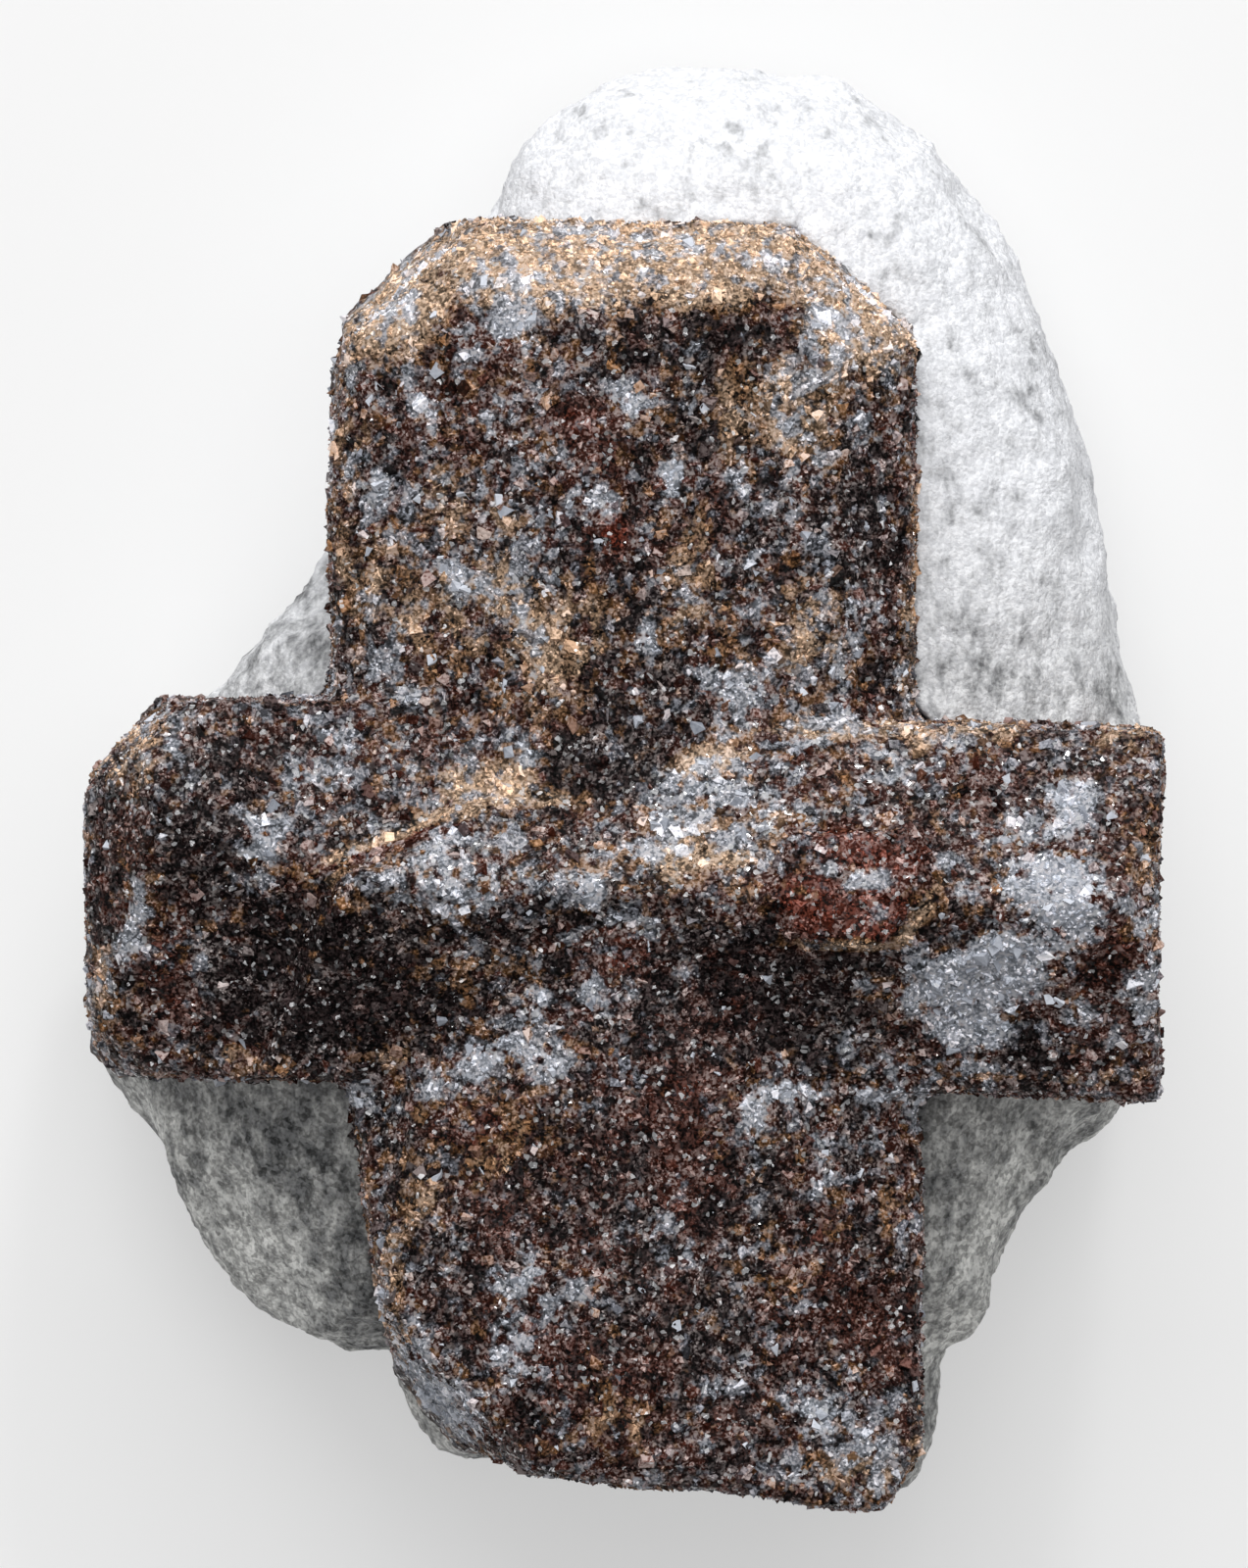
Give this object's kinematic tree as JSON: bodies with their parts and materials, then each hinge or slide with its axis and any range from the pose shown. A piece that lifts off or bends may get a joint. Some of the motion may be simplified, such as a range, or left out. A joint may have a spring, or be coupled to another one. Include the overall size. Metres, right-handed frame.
{
  "type": "staurolite cross",
  "caption": "Natural brown staurolite cross, its arms grown through each other at right angles, lying face up in a rounded lump of grey-white mica schist.",
  "frame": {"origin": "centre of the bounding box's underside, on the flat sole of the schist", "axes": "+Z out of the face of the cross, +Y along its upright towards the shorter arm, +X along its bar to the right as seen from above"},
  "size_m": [0.0186, 0.025, 0.012],
  "materials": {
    "staurolite": "granular dark red-brown crystal with sugary quartz grains and ochre staining",
    "mica_schist": "fine-grained pale mica schist with grey-black biotite streaks"
  },
  "bodies": {
    "root": {"staurolite_twin": "staurolite", "schist_matrix": "mica_schist"}
  },
  "joints": []
}
